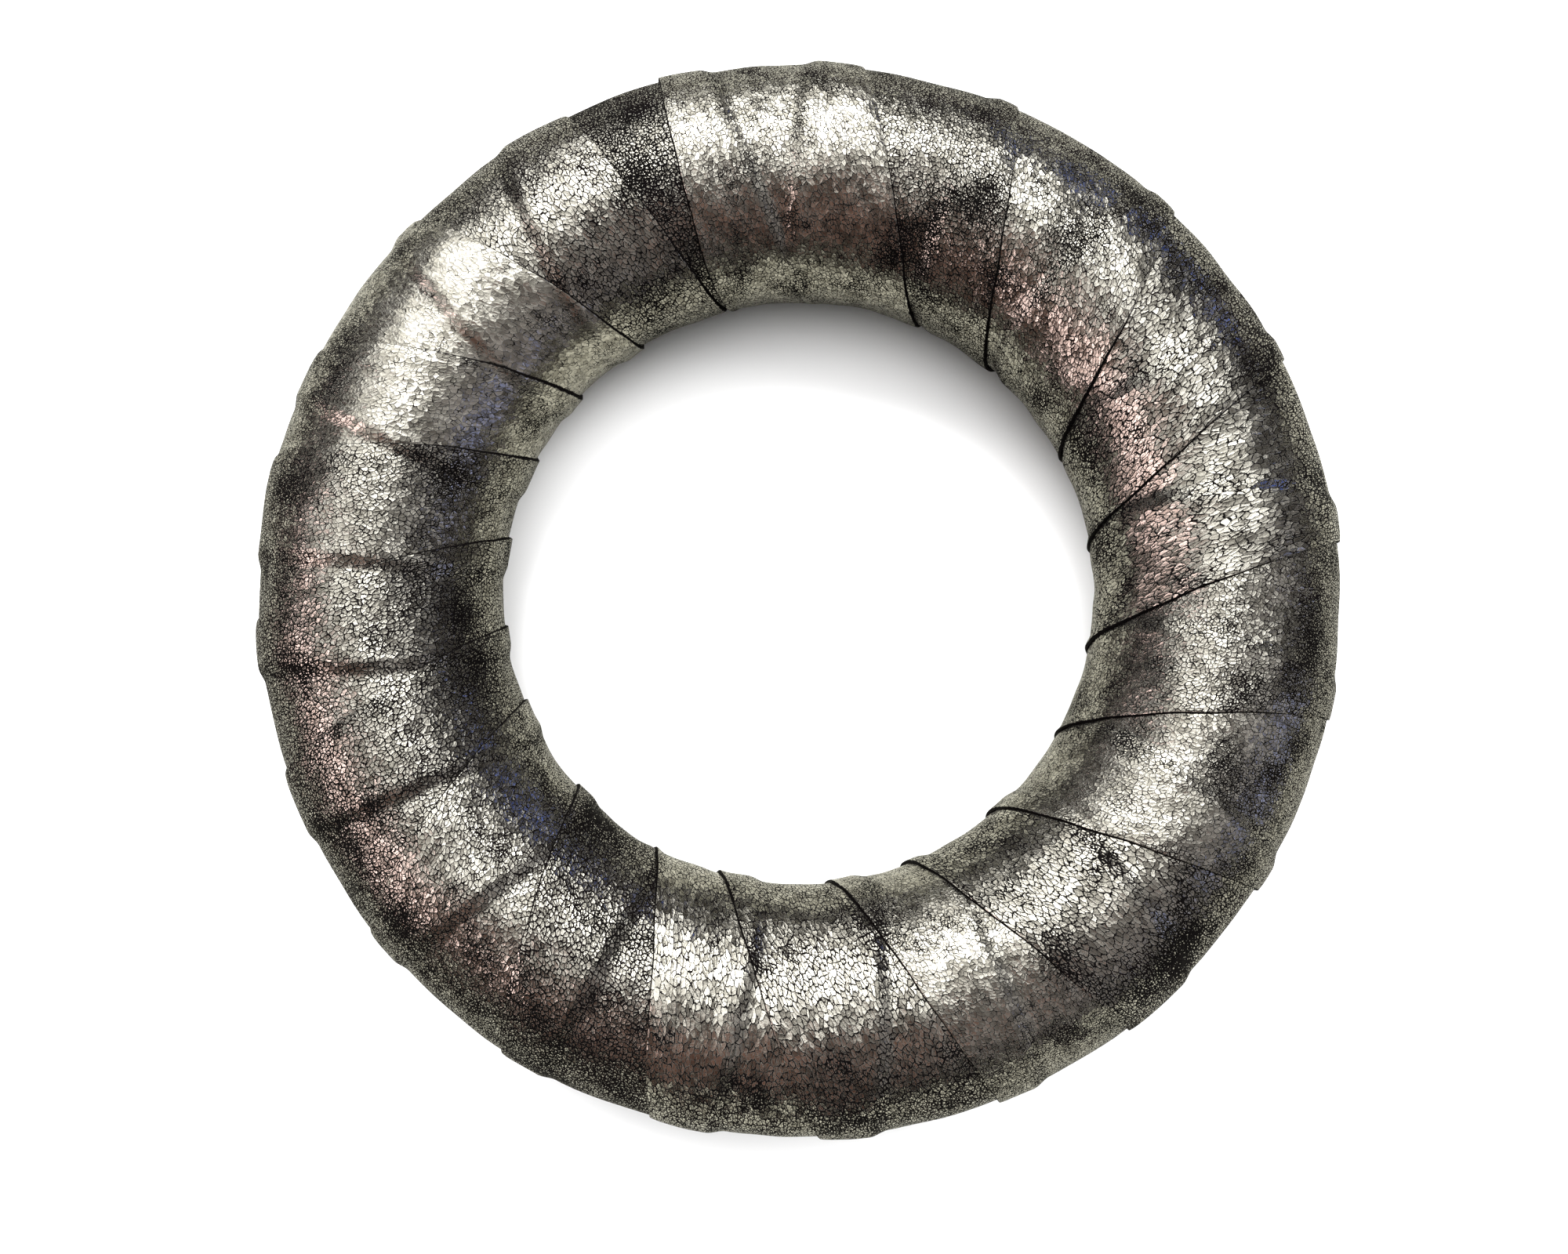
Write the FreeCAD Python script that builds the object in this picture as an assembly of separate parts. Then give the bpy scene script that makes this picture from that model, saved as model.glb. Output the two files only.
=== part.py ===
"""Wreath frame: a foam ring wrapped in twenty lapped strips of leather, pinned at the back.

Part frame: the ring lies flat, +Z is up out of its display face, and the origin is on the
surface it lies on, under the centre of the ring. Millimetres and degrees.
"""
import FreeCAD
import Part
import math
import os

# ---- Driving dimensions -------------------------------------------------------------------
RING_RADIUS = 119.0        # ring axis to the middle of the foam tube
TUBE_RADIUS = 31.0         # foam tube
LEATHER = 1.0              # thickness of a leather strip
LAP_CLEARANCE = 0.10       # air left between two layers, and between leather and foam
STRIP_WIDTH = 58.0         # across a strip, measured along the ring; it is cut 56 wide and slants
DRAPE = 5.0                # a strip comes down off a buried edge over this distance
END_GAP = 0.6              # gap where the two ends of a strip butt together
PIN_WIRE = 1.2             # diameter of a greening pin's wire
PIN_CROWN = 12.0           # distance between a pin's two legs
PIN_LEG = 25.0             # length of a leg
PIN_BEND = 1.1             # radius of the corners of the crown
PIN_PLAY = 0.05            # clearance round a leg in its hole, and under the crown

# Each strip makes one turn around the tube. A turn is counted from 0 at the hole side,
# through 0.25 on top, 0.5 at the outer rim and 0.75 on the underside.
FIRST_TURN = -1 / 6        # the ends meet on the underside, towards the hole, clear of the table

# Where the first edge of each strip crosses the hole side and the outer rim, in degrees round
# the ring, counter-clockwise from +X. The strips are laid in this order, each over the one
# before it, and the last one closes the ring by lapping over the first as well.
LAY = [
    (90.0, 101.5), (105.5, 117.0), (123.5, 137.5), (139.0, 155.5), (154.5, 167.5),
    (171.0, 185.5), (188.5, 201.5), (203.5, 220.5), (223.0, 238.5), (242.0, 255.0),
    (255.0, 272.5), (276.0, 291.0), (291.0, 306.0), (310.0, 325.5), (330.0, 345.0),
    (348.0, 364.0), (368.0, 384.5), (386.5, 405.0), (410.0, 425.5), (427.0, 443.5),
]
FULL_TURN_ADVANCE = 360 / len(LAY)     # how far a strip travels round the ring in one turn
HOLE_SIDE_SLANT = 0.735    # a strip slants most on the hole side ...
TOP_STRAIGHTNESS = 0.315   # ... and least over the top and the outer rim

POINTS_ROUND = 73          # surface points round the tube
POINTS_ACROSS = 45         # surface points across a strip

LAYER = LEATHER + LAP_CLEARANCE
CENTRE_HEIGHT = TUBE_RADIUS + LAP_CLEARANCE + LEATHER + LAYER   # two layers lie under the tube
END_MARGIN = END_GAP / 2 / (2 * math.pi * TUBE_RADIUS)


def ring_radius_at(turn, height=0.0):
    """Distance from the ring axis to a point that many mm above the foam."""
    return RING_RADIUS - (TUBE_RADIUS + height) * math.cos(2 * math.pi * turn)


def point_on_tube(turn, angle, height):
    """A point above the foam, at a turn around the tube and an angle round the ring."""
    radius = ring_radius_at(turn, height)
    z = CENTRE_HEIGHT + (TUBE_RADIUS + height) * math.sin(2 * math.pi * turn)
    bearing = math.radians(angle)
    return FreeCAD.Vector(radius * math.cos(bearing), radius * math.sin(bearing), z)


def half_width_angle(turn):
    """Half of a strip's width, as an angle round the ring."""
    return math.degrees(STRIP_WIDTH / 2 / ring_radius_at(turn))


def advance(turn):
    """How far a strip's centre line has moved round the ring since the hole side."""
    wave = 2 * math.pi * turn
    bend = HOLE_SIDE_SLANT * math.sin(wave) - TOP_STRAIGHTNESS * (1 - math.cos(wave))
    return FULL_TURN_ADVANCE * (turn + bend / (2 * math.pi))


def centre_angle(strip, turn):
    """Angle round the ring of a strip's centre line."""
    hole_side, outer_rim = LAY[strip]
    plain_lean = advance(0.5) + half_width_angle(0) - half_width_angle(0.5)
    own_lean = outer_rim - hole_side - plain_lean
    swing = (1 - math.cos(2 * math.pi * turn)) / 2
    return hole_side + half_width_angle(0) + advance(turn) + own_lean * swing


def smooth_step(x):
    x = min(max(x, 0.0), 1.0)
    return x * x * (3 - 2 * x)


def cover(strip, turn, angle):
    """1 where a strip lies at this angle, falling to 0 over the drape beside its edges."""
    from_centre = math.radians(abs(angle - centre_angle(strip, turn))) * ring_radius_at(turn)
    return 1 - smooth_step((from_centre - STRIP_WIDTH / 2) / DRAPE)


def strips_below(strip):
    """The strips that this one laps over, each with the whole turns to add to its angles."""
    below = [(other, 0) for other in range(max(strip - 3, 0), strip)]
    if strip == len(LAY) - 1:
        below += [(0, 360), (1, 360)]
    return below


def underside_height(strip, turn, angle):
    """Height of a strip's underside above the foam: one layer for each strip beneath."""
    layers = sum(cover(other, turn, angle - whole) for other, whole in strips_below(strip))
    return LAP_CLEARANCE + LAYER * layers


def strip_grid(strip, thickness):
    """Points of a strip's underside, or of its face when given its thickness."""
    rows = []
    for i in range(POINTS_ROUND):
        share = i / (POINTS_ROUND - 1)
        turn = FIRST_TURN + END_MARGIN + share * (1 - 2 * END_MARGIN)
        row = []
        for j in range(POINTS_ACROSS):
            side = 2 * j / (POINTS_ACROSS - 1) - 1
            angle = centre_angle(strip, turn) + side * half_width_angle(turn)
            height = underside_height(strip, turn, angle) + thickness
            row.append(point_on_tube(turn, angle, height))
        rows.append(row)
    return rows


def spline_face(grid):
    surface = Part.BSplineSurface()
    surface.interpolate(grid)
    return surface.toShape()


def make_strip(strip):
    """One leather strip: a band of even thickness wrapped once around the tube."""
    underside = spline_face(strip_grid(strip, 0.0))
    face = spline_face(strip_grid(strip, LEATHER))
    walls = [Part.makeRuledSurface(low, high) for low, high in zip(underside.Edges, face.Edges)]
    shell = Part.Shell([underside, face] + walls)
    shell.sewShape()
    solid = Part.Solid(Part.Shell(shell.Faces))
    if solid.Volume < 0:
        solid.reverse()
    return solid


def first_edge_angle(strip, turn):
    """Angle of a strip's first edge; strips past the last one are the first ones again."""
    whole_rings, laid = divmod(strip, len(LAY))
    return centre_angle(laid, turn) - half_width_angle(turn) + 360 * whole_rings


def band_middle(strip, turn):
    """Middle of the band of a strip that the next strip leaves uncovered."""
    return (first_edge_angle(strip, turn) + first_edge_angle(strip + 1, turn)) / 2


def stack_height(turn, angle):
    """Height above the foam of the outermost leather."""
    layers = sum(cover(strip, turn, angle + whole)
                 for strip in range(len(LAY)) for whole in (-360, 0, 360))
    return LAP_CLEARANCE + LAYER * layers


def pin_place(strip):
    """Middle of a pin's crown, the way out of the leather there, and the way round the tube.

    The pin bridges the butt joint between the last end of one strip and the first end of the
    next, in the middle of the band that no later strip covers.
    """
    last_turn = FIRST_TURN + 1
    angle = (band_middle(strip, last_turn) + band_middle(strip + 1, FIRST_TURN)) / 2
    crown_turns = PIN_CROWN / 2 / (2 * math.pi * TUBE_RADIUS)
    height = max(stack_height(end + side * crown_turns * share, angle)
                 for end, side in ((last_turn, -1), (FIRST_TURN, 1)) for share in (0, 0.5, 1))
    middle = point_on_tube(last_turn, angle, height + PIN_WIRE / 2 + PIN_PLAY)
    outwards = (middle - point_on_tube(last_turn, angle, 0)).normalize()
    tangent = FreeCAD.Vector(-math.sin(math.radians(angle)), math.cos(math.radians(angle)), 0)
    return middle, outwards, outwards.cross(tangent)


def make_pin(place):
    """A greening pin: one wire bent into a U, with its crown on the leather."""
    middle, outwards, along = place
    half = PIN_CROWN / 2
    bend_inset = PIN_BEND * (1 - math.sqrt(0.5))

    def at(across, up):
        return middle + along * across + outwards * up

    path = Part.Wire([
        Part.LineSegment(at(-half, -PIN_LEG), at(-half, -PIN_BEND)).toShape(),
        Part.Arc(at(-half, -PIN_BEND), at(bend_inset - half, -bend_inset),
                 at(PIN_BEND - half, 0)).toShape(),
        Part.LineSegment(at(PIN_BEND - half, 0), at(half - PIN_BEND, 0)).toShape(),
        Part.Arc(at(half - PIN_BEND, 0), at(half - bend_inset, -bend_inset),
                 at(half, -PIN_BEND)).toShape(),
        Part.LineSegment(at(half, -PIN_BEND), at(half, -PIN_LEG)).toShape(),
    ])
    section = Part.Wire(Part.makeCircle(PIN_WIRE / 2, at(-half, -PIN_LEG), outwards))
    return path.makePipeShell([section], True, False)


def make_pin_holes(place):
    """The two holes that a pin's legs make through the leather and into the foam."""
    middle, outwards, along = place
    depth = PIN_LEG + PIN_WIRE
    radius = PIN_WIRE / 2 + PIN_PLAY
    tops = [middle + along * side + outwards * PIN_WIRE / 2 for side in (-PIN_CROWN / 2, PIN_CROWN / 2)]
    return [Part.makeCylinder(radius, depth, top, outwards * -1) for top in tops]


def pierce(solid, holes):
    """Cut the holes that reach a solid out of it."""
    near = [hole for hole in holes if hole.BoundBox.intersect(solid.BoundBox)]
    return solid.cut(Part.makeCompound(near)).Solids[0]


def make_core_half(upper):
    """Half of the foam ring, moulded flat on the plane where the halves are glued."""
    ring = Part.makeTorus(RING_RADIUS, TUBE_RADIUS, FreeCAD.Vector(0, 0, CENTRE_HEIGHT))
    reach = RING_RADIUS + TUBE_RADIUS + 1
    floor = CENTRE_HEIGHT if upper else CENTRE_HEIGHT - TUBE_RADIUS - 1
    slab = Part.makeBox(2 * reach, 2 * reach, TUBE_RADIUS + 1, FreeCAD.Vector(-reach, -reach, floor))
    return ring.common(slab)


def main():
    os.makedirs("parts", exist_ok=True)
    places = [pin_place(strip) for strip in range(len(LAY))]
    holes = [hole for place in places for hole in make_pin_holes(place)]
    pins = Part.makeCompound([make_pin(place) for place in places])
    pins.exportStep("parts/greening_pins.step")
    make_core_half(upper=True).exportStep("parts/core_upper_half.step")
    pierce(make_core_half(upper=False), holes).exportStep("parts/core_lower_half.step")
    for strip in range(len(LAY)):
        pierced = pierce(make_strip(strip), holes)
        pierced.exportStep(f"parts/wrap_strip_{strip + 1:02d}.step")


main()
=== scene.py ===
"""Wreath frame: a foam ring wrapped in twenty lapped strips of crackled silver foil leather.

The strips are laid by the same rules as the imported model's, with the detail that a hand-wrapped
ring shows: black cut edges, edges that lift at the hole side, slack and tension in the leather,
and foil that has cracked into flakes. Millimetres inside the functions, metres in the meshes.
"""
import bpy
import math
from collections import namedtuple
import numpy as np
from mathutils import Matrix, Vector


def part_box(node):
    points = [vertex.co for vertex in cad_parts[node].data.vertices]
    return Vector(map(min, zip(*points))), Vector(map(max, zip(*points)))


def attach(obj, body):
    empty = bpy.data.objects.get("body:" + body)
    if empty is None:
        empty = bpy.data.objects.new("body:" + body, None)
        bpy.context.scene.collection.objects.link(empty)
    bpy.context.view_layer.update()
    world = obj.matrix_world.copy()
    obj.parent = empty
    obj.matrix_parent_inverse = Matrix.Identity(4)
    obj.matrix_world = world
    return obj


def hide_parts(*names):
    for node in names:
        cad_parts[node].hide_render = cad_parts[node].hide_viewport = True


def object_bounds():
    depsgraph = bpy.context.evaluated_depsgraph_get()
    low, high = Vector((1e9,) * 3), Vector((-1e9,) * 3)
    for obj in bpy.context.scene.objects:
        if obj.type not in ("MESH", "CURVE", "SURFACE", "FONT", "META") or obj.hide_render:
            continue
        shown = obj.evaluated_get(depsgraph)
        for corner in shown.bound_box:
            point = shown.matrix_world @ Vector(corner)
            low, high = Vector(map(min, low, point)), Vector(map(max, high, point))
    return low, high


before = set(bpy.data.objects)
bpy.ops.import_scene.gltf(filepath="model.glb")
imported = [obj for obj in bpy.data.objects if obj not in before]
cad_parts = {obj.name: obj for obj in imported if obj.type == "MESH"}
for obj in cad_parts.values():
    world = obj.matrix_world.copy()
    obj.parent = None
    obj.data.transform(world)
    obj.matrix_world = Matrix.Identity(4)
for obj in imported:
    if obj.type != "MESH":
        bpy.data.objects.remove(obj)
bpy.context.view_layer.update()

MM = 0.001

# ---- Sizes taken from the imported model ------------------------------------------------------
core_low, core_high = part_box("core_upper_half")
TUBE_RADIUS = (core_high.z - core_low.z) / MM
RING_RADIUS = (core_high.x - core_low.x) / 2 / MM - TUBE_RADIUS
CENTRE_HEIGHT = core_low.z / MM

# ---- Sizes of the wrap ----------------------------------------------------------------------
LEATHER = 1.0              # thickness of a strip
LAP_CLEARANCE = 0.10       # air between two layers
STRIP_WIDTH = 58.0         # across a strip, measured along the ring
DRAPE = 5.0                # a strip comes down off a buried edge over this distance
END_GAP = 0.6              # gap where the two ends of a strip butt together
FIRST_TURN = -1 / 6        # turns count from 0 at the hole side, by the top, to 0.5 at the outer rim
HOLE_SIDE_SLANT = 0.735
TOP_STRAIGHTNESS = 0.315
LAYER = LEATHER + LAP_CLEARANCE

# Each strip: where its first edge crosses the hole side and the outer rim (degrees round the
# ring), how far up the tube its black cut edge shows (turns), how wide that edge is at the hole
# side (mm; there the black is partly painted shade in the gap under the lifted edge), how much
# its grain is drawn out along the strip, and how open its cracks are.
Strip = namedtuple("Strip", "hole_side outer_rim edge_reach cut stretch cracks")
STRIPS = [
    Strip(90.0, 101.5, 0.20, 0.45, 1.0, 0.19), Strip(105.5, 117.0, 0.24, 0.55, 1.5, 0.12),
    Strip(123.5, 137.5, 0.26, 0.50, 1.3, 0.06), Strip(139.0, 155.5, 0.34, 0.95, 1.2, 0.08),
    Strip(154.5, 167.5, 0.30, 0.60, 1.1, 0.12), Strip(171.0, 185.5, 0.28, 0.50, 1.2, 0.14),
    Strip(188.5, 201.5, 0.16, 0.35, 1.1, 0.15), Strip(203.5, 220.5, 0.25, 0.25, 1.1, 0.13),
    Strip(223.0, 238.5, 0.26, 0.30, 1.1, 0.16), Strip(242.0, 255.0, 0.26, 0.20, 1.9, 0.10),
    Strip(255.0, 272.5, 0.26, 0.30, 1.6, 0.12), Strip(276.0, 291.0, 0.60, 0.40, 1.0, 0.09),
    Strip(291.0, 306.0, 0.26, 0.25, 1.7, 0.12), Strip(310.0, 325.5, 0.48, 0.40, 1.0, 0.10),
    Strip(330.0, 345.0, 0.29, 0.45, 1.0, 0.12), Strip(348.0, 364.0, 0.26, 0.70, 2.1, 0.11),
    Strip(368.0, 384.5, 0.29, 0.45, 1.8, 0.12), Strip(386.5, 405.0, 0.19, 0.75, 1.2, 0.11),
    Strip(410.0, 425.5, 0.25, 0.50, 1.0, 0.14), Strip(427.0, 443.5, 0.19, 0.40, 1.1, 0.10),
]
# Places where the foil is worn: degrees round the ring, turns round the tube, reach in mm.
WORN_SPOTS = [
    (6, 0.03, 7), (25, 0.06, 8), (37, 0.03, 5), (23, 0.33, 6), (44, 0.32, 4), (50, 0.24, 8),
    (63, 0.21, 7), (73, 0.12, 7), (112, 0.23, 7), (153, 0.35, 6), (165, 0.14, 7), (171, 0.34, 6),
    (186, 0.11, 6), (197, 0.09, 8), (222, 0.35, 5), (231, 0.06, 10), (283, 0.13, 7), (303, 0.26, 7),
    (313, 0.38, 10), (333, 0.28, 7), (344, 0.26, 6), (352, 0.34, 6),
]
LAST = len(STRIPS) - 1
FULL_TURN_ADVANCE = 360 / len(STRIPS)

# ---- Detail of the visual model -------------------------------------------------------------
ROWS = 401                 # points round the tube; the underside keeps every fourth
UNDERSIDE_STEP = 4
FINE_COLUMN = 0.12         # spacing of the points across a strip at its cut edges ...
COLUMN = 0.55              # ... and in its middle
FINE_REACH = 2.5           # they start to spread out this far from an edge ...
COLUMN_GROWTH = 1.12       # ... each step longer than the last by this ratio
EDGE_WOBBLE = 0.35         # how far a cut edge strays from its line
EDGE_FADE = 0.05           # turns over which a black edge comes to be pressed flat
EDGE_ROUNDING = 0.7        # below 1, the rise of a cut edge starts steep and rounds over at the top
HAIRLINE = 0.10            # width of the black line at an edge that is pressed flat ...
VISIBLE_HAIRLINE = 0.36    # ... and at one that isn't
LOOSENESS = 0.80           # how far the wrapped surface stands off the foam on average ...
SLACK = 0.22               # ... the height of its gentle waves ...
OWN_SLACK = 0.07           # ... and of the smaller ones that each strip has of its own
EDGE_LIFT = 0.35           # how far an edge stands up at the hole side, as a share of its cut
LIFT_REACH = 3.5           # how far in from the edge that lift, or a knob, is felt
PRESSED_EDGE = 0.45        # share of its thickness that an edge pressed flat keeps ...
VISIBLE_EDGE = 0.72        # ... and one that shows its black cut face ...
PRESS_REACH = 2.5          # ... thickening again over this distance
KNOB = 0.15                # how far an edge stands out at the outer rim
STEEP = 0.25               # slope of the leather where it bends over a buried edge
BENT = 0.35                # how much that bend opens the cracks ...
STRETCHED = 0.9            # ... and how much the pull round the outer rim ...
CRUSHED = 0.35             # ... and the crowding round the hole side do
WORN = 1.15                # how much wider the cracks are where the foil is worn
FLAKE = 1.10               # size of a flake of foil, in mm ...
FINE_FLAKES = 1.8          # ... and how many times smaller the finest ones are
CRACK_RANGE = 0.08         # how much narrower cracks are in the least cracked patches
FINE_CLOSED = 0.07         # how much more closed the fine cracks are than the others ...
FINE_STRAINED = 0.14       # ... and how much strain opens them ...
STRAINED = 0.05            # ... and the others
CRACK_SOFTNESS = 0.02      # a crack fades from open to closed over this share of a flake ...
FINE_SOFTNESS = 0.03       # ... and a fine crack over this
FLAKE_TILT = 0.17          # how far flakes lean from the surface, each its own way


def smooth_step(x):
    x = np.clip(x, 0.0, 1.0)
    return x * x * (3 - 2 * x)


def ring_radius_at(turn, height=0.0):
    return RING_RADIUS - (TUBE_RADIUS + height) * np.cos(2 * np.pi * turn)


def point_on_tube(turn, angle, height):
    """Positions in mm of points that high above the foam, as an array ending in x, y, z."""
    radius = ring_radius_at(turn, height)
    z = CENTRE_HEIGHT + (TUBE_RADIUS + height) * np.sin(2 * np.pi * turn)
    bearing = np.radians(angle)
    return np.stack([radius * np.cos(bearing), radius * np.sin(bearing), z], axis=-1)


def half_width_angle(turn):
    return np.degrees(STRIP_WIDTH / 2 / ring_radius_at(turn))


def advance(turn):
    """How far a strip's centre line has moved round the ring since the hole side."""
    wave = 2 * np.pi * turn
    bend = HOLE_SIDE_SLANT * np.sin(wave) - TOP_STRAIGHTNESS * (1 - np.cos(wave))
    return FULL_TURN_ADVANCE * (turn + bend / (2 * np.pi))


def centre_angle(index, turn):
    strip = STRIPS[index]
    plain_lean = advance(0.5) + half_width_angle(0) - half_width_angle(0.5)
    own_lean = strip.outer_rim - strip.hole_side - plain_lean
    swing = (1 - np.cos(2 * np.pi * turn)) / 2
    return strip.hole_side + half_width_angle(0) + advance(turn) + own_lean * swing


def waves(seed, count, turn, angle, shortest, longest):
    """Random gentle waves over the wrapped tube, about -1 to 1, that close on themselves."""
    rng = np.random.default_rng(seed)
    total = np.zeros(np.broadcast(turn, angle).shape)
    for _ in range(count):
        length = rng.uniform(shortest, longest)
        heading = rng.uniform(0, np.pi)
        round_ring = round(2 * np.pi * RING_RADIUS / length * np.cos(heading))
        round_tube = round(2 * np.pi * TUBE_RADIUS / length * np.sin(heading))
        phase = rng.uniform(0, 2 * np.pi)
        total += np.cos(np.radians(angle) * round_ring + 2 * np.pi * turn * round_tube + phase)
    return total / math.sqrt(count)


def edge_wobble(index, side, turn):
    """How far a hand-cut edge strays sideways, in mm, along the strip."""
    rng = np.random.default_rng(100 + 2 * index + side)
    total = np.zeros_like(turn)
    for cycles in (2, 5, 9, 14):
        total += np.cos(2 * np.pi * (cycles * turn + rng.random())) / math.sqrt(cycles)
    return EDGE_WOBBLE * total / 1.5


def cover(index, turn, angle):
    """1 where a strip lies, falling to 0 over the drape beside its edges."""
    across = np.radians(angle - centre_angle(index, turn)) * ring_radius_at(turn)
    past_first = -STRIP_WIDTH / 2 + edge_wobble(index, 0, turn) - across
    past_last = across - STRIP_WIDTH / 2 - edge_wobble(index, 1, turn)
    return 1 - smooth_step(np.maximum(past_first, past_last) / DRAPE)


def underside_height(index, turn, angle):
    """Height of a strip's underside above the foam: one layer for each strip beneath it."""
    below = [(other, 0) for other in range(max(index - 3, 0), index)]
    if index == LAST:
        below += [(0, 360), (1, 360)]
    layers = sum(cover(other, turn, angle - whole) for other, whole in below)
    return LAP_CLEARANCE + LAYER * layers


def hole_side_share(turn):
    """1 round the hole side of the tube, 0 over its top and outer rim."""
    return smooth_step((np.cos(2 * np.pi * turn) + 0.1) / 1.1)


def outer_rim_share(turn):
    """1 round the outer rim of the tube, 0 over its top."""
    return smooth_step((-np.cos(2 * np.pi * turn) - 0.10) / 0.6)


def edge_visible(strip, turn):
    """1 where a strip's black cut edge shows, 0 where the edge is pressed flat."""
    return 1 - smooth_step((turn - strip.edge_reach) / EDGE_FADE)


def edge_width(strip, turn, visible):
    """Width in mm of the black cut edge: a hairline on top, gaping at the hole side, where the
    black is partly the leather's cut face and partly painted shade in the gap under the edge.
    """
    hairline = HAIRLINE + (VISIBLE_HAIRLINE - HAIRLINE) * visible
    return hairline + (strip.cut - hairline) * hole_side_share(turn) ** 2


def worn_share(turn, angle):
    """1 in the middle of the worn spots, fading away round them."""
    total = np.zeros(np.broadcast(turn, angle).shape)
    for spot_angle, spot_turn, reach in WORN_SPOTS:
        round_ring = (angle - spot_angle + 180) % 360 - 180
        aside = np.radians(round_ring) * ring_radius_at(turn)
        upwards = 2 * np.pi * TUBE_RADIUS * (turn - spot_turn)
        total += np.exp(-(aside ** 2 + upwards ** 2) / reach ** 2)
    return total


def column_distances():
    """Distances across a strip from its first edge, close together near both edges."""
    half = [0.0]
    step = FINE_COLUMN
    while half[-1] + step < STRIP_WIDTH / 2:
        half.append(half[-1] + step)
        if half[-1] > FINE_REACH:
            step = min(step * COLUMN_GROWTH, COLUMN)
    half = np.array(half)
    return np.concatenate([half, [STRIP_WIDTH / 2], STRIP_WIDTH - half[::-1]])


def strip_surface(index):
    """A strip's face and underside, where each point lies on the strip, and how it is strained."""
    strip = STRIPS[index]
    margin = END_GAP / 2 / (2 * np.pi * TUBE_RADIUS)
    turn = (FIRST_TURN + np.linspace(margin, 1 - margin, ROWS))[:, None]
    distance = column_distances()[None, :]
    first = -STRIP_WIDTH / 2 + edge_wobble(index, 0, turn)
    last = STRIP_WIDTH / 2 + edge_wobble(index, 1, turn)
    across = first + (last - first) * distance / STRIP_WIDTH
    angle = centre_angle(index, turn) + np.degrees(across / ring_radius_at(turn))

    from_first = across - first
    from_last = last - across
    visible_first = edge_visible(strip, turn)
    visible_last = 1.0 if index == LAST else 0.0
    width_first = edge_width(strip, turn, visible_first)
    width_last = edge_width(strip, turn, visible_last)
    rise_first = smooth_step(from_first / width_first) ** EDGE_ROUNDING
    rise_last = smooth_step(from_last / width_last) ** EDGE_ROUNDING
    kept_edge = PRESSED_EDGE + (VISIBLE_EDGE - PRESSED_EDGE) * visible_first
    pressed_first = (1 - kept_edge) * np.exp(-from_first / PRESS_REACH)
    thickness = LEATHER * rise_first * rise_last * (1 - pressed_first)

    lift = EDGE_LIFT * strip.cut * hole_side_share(turn) * np.exp(-from_first / LIFT_REACH)
    slack = LOOSENESS + SLACK * waves(7, 60, turn, angle, 14, 60)
    own_slack = OWN_SLACK * waves(50 + index, 24, turn, angle, 9, 24)
    knob = KNOB * outer_rim_share(turn) * np.exp(-(from_first / LIFT_REACH) ** 2)
    underside = underside_height(index, turn, angle) + slack + own_slack + lift + knob

    along = 2 * np.pi * TUBE_RADIUS * (turn - FIRST_TURN) + 0 * across
    edge_share = np.minimum(from_first / width_first, from_last / width_last)
    lay = np.stack([across, along, np.clip(edge_share, 0, 9)], axis=-1)
    slope = np.abs(np.gradient(underside, axis=1) / np.gradient(across, axis=1))
    strain = (BENT * smooth_step(slope / STEEP) + STRETCHED * outer_rim_share(turn)
              + CRUSHED * hole_side_share(turn) + WORN * worn_share(turn, angle))
    face = point_on_tube(turn, angle, underside + thickness)
    return face, point_on_tube(turn, angle, underside), lay, strain


def strip_mesh(index):
    """One closed mesh: a fine face, a coarser underside, and end walls between them."""
    face, underside, lay, strain = strip_surface(index)
    rows, columns = face.shape[:2]
    inner = (slice(None, None, UNDERSIDE_STEP), slice(1, -1))
    inner_rows, inner_columns = underside[inner].shape[:2]
    points = np.concatenate([face.reshape(-1, 3), underside[inner].reshape(-1, 3)]) * MM
    lay = np.concatenate([lay.reshape(-1, 3), lay[inner].reshape(-1, 3)])
    strain = np.concatenate([strain.ravel(), strain[inner].ravel()])

    top = np.arange(rows * columns).reshape(rows, columns)
    low = rows * columns + np.arange(inner_rows * inner_columns).reshape(inner_rows, inner_columns)
    quads = np.stack([top[:-1, :-1], top[:-1, 1:], top[1:, 1:], top[1:, :-1]], axis=-1)
    faces = quads.reshape(-1, 4).tolist()
    face_count = len(faces)
    quads = np.stack([low[:-1, :-1], low[1:, :-1], low[1:, 1:], low[:-1, 1:]], axis=-1)
    faces += quads.reshape(-1, 4).tolist()
    for i in range(inner_rows - 1):
        fine = slice(i * UNDERSIDE_STEP, (i + 1) * UNDERSIDE_STEP + 1)
        faces.append([*top[fine, 0], low[i + 1, 0], low[i, 0]])
        faces.append([*top[fine, -1][::-1], low[i, -1], low[i + 1, -1]])
    for row, low_row, flip in ((top[0], low[0], False), (top[-1], low[-1], True)):
        under = [row[0], *low_row, row[-1]]
        for j in range(columns - 1):
            wall = [row[j], under[j], under[j + 1], row[j + 1]]
            wall = [v for n, v in enumerate(wall) if v not in wall[:n]]
            faces.append(wall[::-1] if flip else wall)

    mesh = bpy.data.meshes.new(f"wrapped_strip_{index + 1:02d}")
    mesh.from_pydata(points, [], faces)
    mesh.attributes.new("lay", "FLOAT_VECTOR", "POINT").data.foreach_set("vector", lay.ravel())
    mesh.attributes.new("strain", "FLOAT", "POINT").data.foreach_set("value", strain)
    slots = np.ones(len(faces), dtype=np.int32)
    slots[:face_count] = 0
    mesh.polygons.foreach_set("material_index", slots)
    mesh.shade_smooth()
    mesh.set_sharp_from_angle(angle=math.radians(60))
    return mesh


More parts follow.
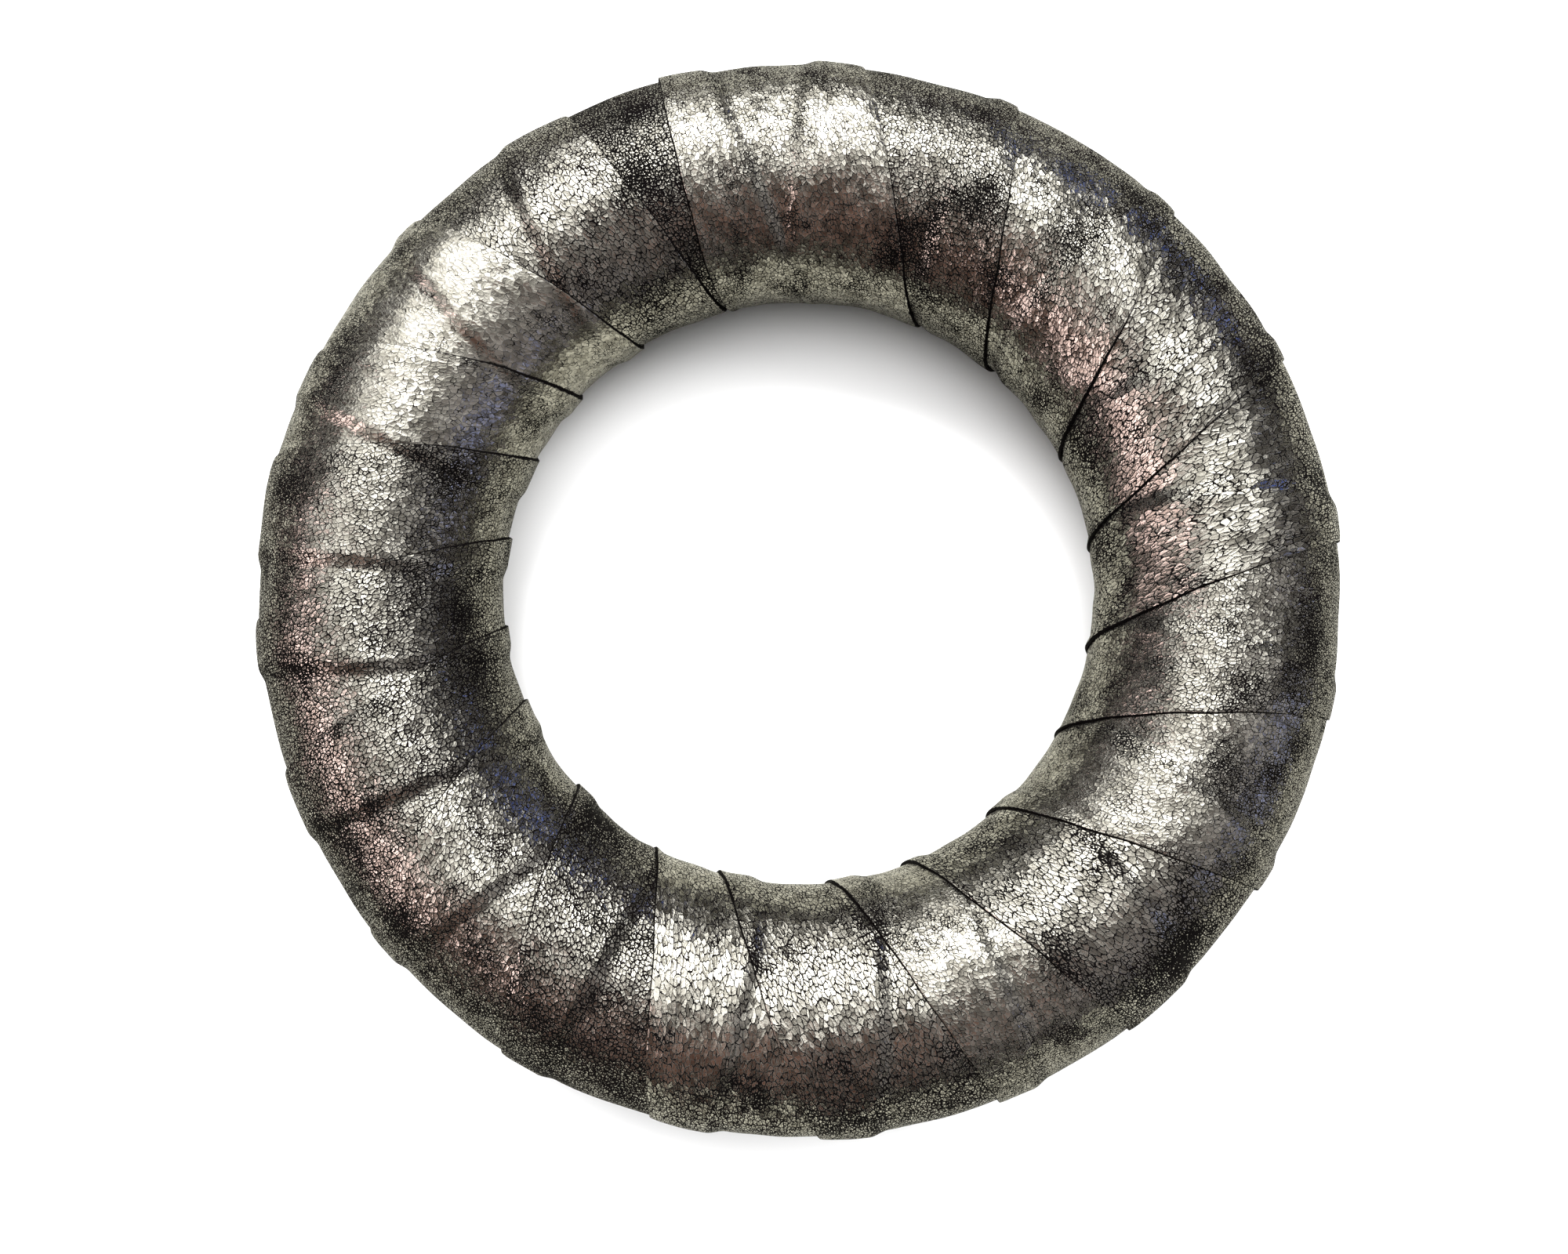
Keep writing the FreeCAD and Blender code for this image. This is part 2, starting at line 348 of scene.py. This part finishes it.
# ---- Materials ------------------------------------------------------------------------------
class Shader:
    """A node tree, with short ways to add the nodes used here."""

    def __init__(self, owner):
        owner.use_nodes = True
        self.tree = owner.node_tree

    def put(self, socket, value):
        if isinstance(value, bpy.types.NodeSocket):
            self.tree.links.new(value, socket)
        elif value is not None:
            socket.default_value = value

    def node(self, kind, inputs=None, **settings):
        made = self.tree.nodes.new(f"ShaderNode{kind}")
        for name, value in settings.items():
            setattr(made, name, value)
        for name, value in (inputs or {}).items():
            self.put(made.inputs[name], value)
        return made

    def math(self, operation, a, b=None, c=None):
        return self.node("Math", {0: a, 1: b, 2: c}, operation=operation).outputs[0]

    def vector(self, operation, a, b):
        made = self.node("VectorMath", {0: a}, operation=operation)
        self.put(made.inputs["Scale" if operation == "SCALE" else 1], b)
        return made.outputs[0]

    def scale_and_add(self, share, vector, total):
        inputs = {0: share, 1: vector, 2: total}
        return self.node("VectorMath", inputs, operation="MULTIPLY_ADD").outputs[0]

    def noise(self, vector, scale, detail=2.0, roughness=0.5):
        inputs = {"Vector": vector, "Scale": scale, "Detail": detail, "Roughness": roughness}
        return self.node("TexNoise", inputs)

    def cells(self, vector, scale, feature):
        inputs = {"Vector": vector, "Scale": scale}
        return self.node("TexVoronoi", inputs, voronoi_dimensions="2D", feature=feature)

    def ramp(self, value, start, stop, low=0.0, high=1.0):
        inputs = {"Value": value, "From Min": start, "From Max": stop, "To Min": low, "To Max": high}
        return self.node("MapRange", inputs, interpolation_type="SMOOTHSTEP").outputs[0]

    def blend(self, share, low, high):
        return self.node("Mix", {0: share, 6: low, 7: high}, data_type="RGBA").outputs[2]


class Surface(Shader):
    """A material, with its shader at hand."""

    def __init__(self, name):
        self.material = bpy.data.materials.new(name)
        super().__init__(self.material)
        self.surface = self.tree.nodes["Principled BSDF"]


SILVER = (0.42, 0.41, 0.365, 1.0)
DULL_SILVER = (0.20, 0.192, 0.165, 1.0)
BLACK_LEATHER = (0.0025, 0.002, 0.002, 1.0)
OWN_GRAIN = (61.0, 17.0)   # moves each strip in turn to its own part of the endless grain


def foil_leather(index):
    """Silver foil on black leather, cracked into flakes by bending round the tube."""
    strip = STRIPS[index]
    sh = Surface(f"crackled_foil_{index + 1:02d}")
    lay = sh.node("Attribute", attribute_name="lay").outputs["Vector"]
    parts = sh.node("SeparateXYZ", {0: lay})
    flat = sh.node("CombineXYZ", {0: parts.outputs[0], 1: parts.outputs[1]}).outputs[0]
    own = sh.vector("ADD", flat, (OWN_GRAIN[0] * index, OWN_GRAIN[1] * index, 0.0))

    # Cracks follow the grain, which is drawn out along some strips and never quite straight.
    skew = math.radians(9 * math.sin(2.1 * index))
    grain = sh.node("Mapping", {"Vector": own, "Rotation": (0, 0, skew),
                                "Scale": (1, 1 / strip.stretch, 1)}).outputs[0]
    for scale, reach in ((0.22, 1.5), (0.9, 0.6), (3.2, 0.40)):
        bend = sh.vector("SUBTRACT", sh.noise(grain, scale).outputs["Color"], (0.5, 0.5, 0.5))
        grain = sh.vector("ADD", grain, sh.vector("SCALE", bend, reach))
    edge = sh.cells(grain, 1 / FLAKE, "DISTANCE_TO_EDGE").outputs["Distance"]
    flake = sh.cells(grain, 1 / FLAKE, "F1").outputs["Color"]
    fine_edge = sh.cells(grain, FINE_FLAKES / FLAKE, "DISTANCE_TO_EDGE").outputs["Distance"]

    # Cracks open in blotches and where the leather is strained.
    blotch = sh.ramp(sh.noise(own, 0.07, 4.0, 0.6).outputs["Fac"], 0.48, 0.72)
    strain = sh.math("ADD", blotch, sh.node("Attribute", attribute_name="strain").outputs["Fac"])
    patch = sh.noise(own, 0.5, 3.0, 0.6).outputs["Fac"]
    usual = sh.ramp(patch, 0.3, 0.7, strip.cracks - CRACK_RANGE, strip.cracks)
    opening = sh.math("MULTIPLY_ADD", strain, STRAINED, usual)
    foil = sh.ramp(edge, sh.math("SUBTRACT", opening, CRACK_SOFTNESS),
                   sh.math("ADD", opening, CRACK_SOFTNESS))
    fine_usual = sh.math("SUBTRACT", usual, FINE_CLOSED)
    fine_opening = sh.math("MULTIPLY_ADD", strain, FINE_STRAINED, fine_usual)
    fine = sh.ramp(fine_edge, sh.math("SUBTRACT", fine_opening, FINE_SOFTNESS),
                   sh.math("ADD", fine_opening, FINE_SOFTNESS))
    # The foil stops short of each edge and bares the black bevel. At the hole side that black is
    # widened, and is partly painted shade in the gap under the lifted edge.
    fray = sh.ramp(sh.noise(own, 1.1).outputs["Fac"], 0.3, 0.7, -0.2, 0.2)
    kept = sh.ramp(sh.math("ADD", parts.outputs[2], fray), 0.85, 1.05)
    foil = sh.math("MULTIPLY", sh.math("MULTIPLY", foil, fine), kept)

    wear = sh.noise(own, 0.16, 5.0, 0.6).outputs["Fac"]
    tarnish = sh.math("MULTIPLY_ADD", sh.node("SeparateXYZ", {0: flake}).outputs[0], 0.35, wear)
    silver = sh.blend(sh.ramp(tarnish, 0.45, 0.9), SILVER, DULL_SILVER)
    sh.put(sh.surface.inputs["Base Color"], sh.blend(foil, BLACK_LEATHER, silver))
    sh.put(sh.surface.inputs["Metallic"], foil)
    smear = sh.ramp(sh.noise(own, 0.8, 3.0).outputs["Fac"], 0.3, 0.7, 0.12, 0.22)
    sh.put(sh.surface.inputs["Roughness"], sh.ramp(foil, 0.0, 0.35, 0.6, smear))
    sh.surface.inputs["Specular IOR Level"].default_value = 0.01

    # Each flake lies at its own slight tilt and rounds down into its cracks.
    normal = sh.node("NewGeometry").outputs["Normal"]
    tilt = sh.vector("SCALE", sh.vector("SUBTRACT", flake, (0.5, 0.5, 0.5)), FLAKE_TILT)
    leaning = sh.vector("ADD", normal, tilt)
    tilted = sh.node("VectorMath", {0: leaning}, operation="NORMALIZE").outputs[0]
    crown = sh.math("MULTIPLY_ADD", foil, 0.15, sh.ramp(edge, 0.0, 0.5, 0.0, 0.5))
    pucker = sh.math("MULTIPLY_ADD", sh.noise(own, 0.7, 4.0, 0.6).outputs["Fac"], 2.0, crown)
    drawn = sh.node("Mapping", {"Vector": own, "Scale": (1, 0.12, 1)}).outputs[0]
    pleats = sh.math("MULTIPLY_ADD", sh.noise(drawn, 0.38, 2.0).outputs["Fac"], 3.0, pucker)
    bump = sh.node("Bump", {"Height": pleats, "Distance": 0.00006, "Strength": 1.0, "Normal": tilted})
    sh.put(sh.surface.inputs["Normal"], bump.outputs[0])
    return sh.material


def leather_back():
    """The black flesh side of the leather, seen on cut ends and undersides."""
    sh = Surface("leather_back")
    lay = sh.node("Attribute", attribute_name="lay").outputs["Vector"]
    nap = sh.noise(lay, 1.6, 4.0, 0.65).outputs["Fac"]
    tone = sh.blend(sh.ramp(nap, 0.3, 0.7), BLACK_LEATHER, (0.030, 0.026, 0.023, 1.0))
    sh.put(sh.surface.inputs["Base Color"], tone)
    sh.put(sh.surface.inputs["Roughness"], sh.ramp(nap, 0.3, 0.7, 0.75, 0.92))
    bump = sh.node("Bump", {"Height": nap, "Distance": 0.0001, "Strength": 0.8})
    sh.put(sh.surface.inputs["Normal"], bump.outputs[0])
    return sh.material


def bead_foam():
    """White moulded polystyrene beads, with painted shade in the grooves between them."""
    sh = Surface("bead_foam")
    place = sh.node("TexCoord").outputs["Object"]
    inputs = {"Vector": place, "Scale": 260.0}
    bead = sh.node("TexVoronoi", inputs, feature="DISTANCE_TO_EDGE").outputs["Distance"]
    # Darker towards each bead's edge: painted shade in the grooves between the beads.
    tone = sh.blend(sh.ramp(bead, 0.0, 0.12), (0.74, 0.75, 0.74, 1.0), (0.90, 0.90, 0.88, 1.0))
    sh.put(sh.surface.inputs["Base Color"], tone)
    sh.put(sh.surface.inputs["Roughness"], sh.ramp(bead, 0.0, 0.3, 0.75, 0.5))
    bump = sh.node("Bump", {"Height": sh.ramp(bead, 0.0, 0.25), "Distance": 0.0003})
    sh.put(sh.surface.inputs["Normal"], bump.outputs[0])
    return sh.material


def drawn_wire():
    """Bright steel wire with faint drawing marks."""
    sh = Surface("drawn_wire")
    place = sh.node("TexCoord").outputs["Object"]
    marks = sh.noise(place, 2400.0, 3.0).outputs["Fac"]
    tone = sh.blend(sh.ramp(marks, 0.3, 0.7), (0.38, 0.38, 0.37, 1.0), (0.56, 0.56, 0.55, 1.0))
    sh.put(sh.surface.inputs["Base Color"], tone)
    sh.surface.inputs["Metallic"].default_value = 1.0
    sh.put(sh.surface.inputs["Roughness"], sh.ramp(marks, 0.3, 0.7, 0.22, 0.40))
    bump = sh.node("Bump", {"Height": marks, "Distance": 0.00001})
    sh.put(sh.surface.inputs["Normal"], bump.outputs[0])
    return sh.material


# ---- Pieces ---------------------------------------------------------------------------------
def make_strips():
    back = leather_back()
    for index in range(len(STRIPS)):
        mesh = strip_mesh(index)
        mesh.materials.append(foil_leather(index))
        mesh.materials.append(back)
        piece = bpy.data.objects.new(mesh.name, mesh)
        bpy.context.collection.objects.link(piece)
        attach(piece, "root")
        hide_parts(f"wrap_strip_{index + 1:02d}")


def finish_cad_pieces():
    foam = bead_foam()
    for name, material in (("core_upper_half", foam), ("core_lower_half", foam),
                           ("greening_pins", drawn_wire())):
        for material_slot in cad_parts[name].material_slots:
            material_slot.material = material


# ---- Studio ---------------------------------------------------------------------------------
FLOOR_SIZE = 6.0
FLOOR_COLOUR = (0.90, 0.90, 0.90, 1.0)
FLOOR_IN_FOIL = (0.48, 0.47, 0.40, 1.0)      # the floor as the foil mirrors it, not washed out
BACKDROP = (1.0, 1.0, 1.0, 1.0)              # as white as the floor, so no horizon shows
ROOM = (0.028, 0.015, 0.011)                 # dim warm room that the foil mirrors beyond the lights
FLOOR_AMBIENCE = (0.12, 0.12, 0.12)          # what dull surfaces get from beyond the lights

# Each light: degrees from straight up, bearing, degrees of half spread, softness, colour, how
# bright it is in the foil's reflections, and how bright on the floor and other dull surfaces.
LIGHTS = [
    (30, 96, 30, 0.42, (1.0, 0.99, 0.97), 2.35, 0.35),     # main soft box, above and behind the ring
    (58, 98, 22, 0.45, (1.0, 0.99, 0.97), 2.9, 0.35),      # its lower half, further off
    (30, 92, 9, 0.30, (1.0, 1.0, 1.0), 7.0, 20.0),         # bare lamp in it
    (8, 90, 26, 0.6, (1.0, 0.98, 0.97), 0.0, 4.6),         # overhead light, screened from the foil
    (50, 130, 12, 0.5, (1.0, 1.0, 1.0), 0.0, 14.0),        # low light from behind on the left
    (45, 25, 12, 0.5, (1.0, 1.0, 1.0), 0.0, 9.0),          # low light on the right
    (25, 20, 22, 0.7, (1.0, 0.98, 0.97), 0.28, 0.0),       # fill from the right
    (30, 175, 20, 0.7, (1.0, 0.97, 0.95), 0.85, 0.0),      # fill from the left
    (63, 195, 18, 0.5, (1.0, 0.76, 0.76), 4.2, 0.0),       # warm lamp low on the left
    (55, 330, 26, 0.7, (1.0, 0.93, 0.93), 0.38, 0.0),      # weak fill from the lower right
    (48, 240, 34, 0.5, (1.0, 0.55, 0.44), 0.27, 0.0),      # brown wall in front
    (76, 50, 6, 0.5, (0.12, 0.25, 1.0), 1.8, 0.0),         # small cool lamps on the right
    (70, 345, 7, 0.6, (0.25, 0.38, 1.0), 1.3, 0.0),
]


def make_sky():
    """Soft studio lights as patches of an even surround, so the whole floor is lit alike."""
    world = bpy.data.worlds.new("studio")
    bpy.context.scene.world = world
    sky = Shader(world)
    direction = sky.node("TexCoord").outputs["Generated"]
    in_foil = ROOM
    on_floor = FLOOR_AMBIENCE
    for tilt, bearing, spread, softness, colour, foil_glow, floor_glow in LIGHTS:
        tilt = math.radians(tilt)
        bearing = math.radians(bearing)
        sideways = math.sin(tilt)
        heading = (sideways * math.cos(bearing), sideways * math.sin(bearing), math.cos(tilt))
        facing = sky.node("VectorMath", {0: direction, 1: heading}, operation="DOT_PRODUCT")
        dark_from = math.cos(math.radians(spread * (1 + softness)))
        full_from = math.cos(math.radians(spread * (1 - softness)))
        patch = sky.ramp(facing.outputs["Value"], dark_from, full_from)
        in_foil = sky.scale_and_add(patch, [foil_glow * c for c in colour], in_foil)
        on_floor = sky.scale_and_add(patch, [floor_glow] * 3, on_floor)
    ray = sky.node("LightPath").outputs
    light = sky.blend(ray["Is Glossy Ray"], on_floor, in_foil)
    seen = sky.blend(ray["Is Camera Ray"], light, BACKDROP)
    sky.put(sky.tree.nodes["Background"].inputs["Color"], seen)


def make_floor():
    """A plain pale floor, level with the lowest point of the ring."""
    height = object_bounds()[0].z
    half = FLOOR_SIZE / 2
    corners = [(x * half, y * half, height) for x, y in ((-1, -1), (1, -1), (1, 1), (-1, 1))]
    mesh = bpy.data.meshes.new("floor")
    mesh.from_pydata(corners, [], [(0, 1, 2, 3)])
    sh = Surface("pale_floor")
    mirrored = sh.node("LightPath").outputs["Is Glossy Ray"]
    sh.put(sh.surface.inputs["Base Color"], sh.blend(mirrored, FLOOR_COLOUR, FLOOR_IN_FOIL))
    sh.surface.inputs["Roughness"].default_value = 0.7
    sh.surface.inputs["Specular IOR Level"].default_value = 0.2
    mesh.materials.append(sh.material)
    floor = bpy.data.objects.new("floor", mesh)
    bpy.context.collection.objects.link(floor)


CAMERA_ELEVATION = 81.2
CAMERA_DISTANCE = 0.4035
CAMERA_AIM = Vector((-0.0039, -0.0128, 0))   # from the middle of the ring
CAMERA_LENS = 32.42
CAMERA_SENSOR = 36.0


def make_camera():
    """Almost straight above the ring, a little towards its lower side."""
    centre = Vector((0, 0, CENTRE_HEIGHT)) * MM
    elevation = math.radians(CAMERA_ELEVATION)
    away = Vector((0, -math.cos(elevation), math.sin(elevation)))
    place = centre + away * CAMERA_DISTANCE
    aim = centre + CAMERA_AIM
    forward = (aim - place).normalized()
    right = forward.cross(Vector((0, 1, 0))).normalized()
    up = right.cross(forward)
    data = bpy.data.cameras.new("camera")
    data.sensor_width = CAMERA_SENSOR
    data.lens = CAMERA_LENS
    camera = bpy.data.objects.new("camera", data)
    turned = Matrix((right, up, -forward)).transposed().to_4x4()
    camera.matrix_world = Matrix.Translation(place) @ turned
    bpy.context.collection.objects.link(camera)
    bpy.context.scene.camera = camera


make_strips()
finish_cad_pieces()
make_sky()
make_floor()
make_camera()
bpy.context.scene.view_settings.view_transform = "Standard"
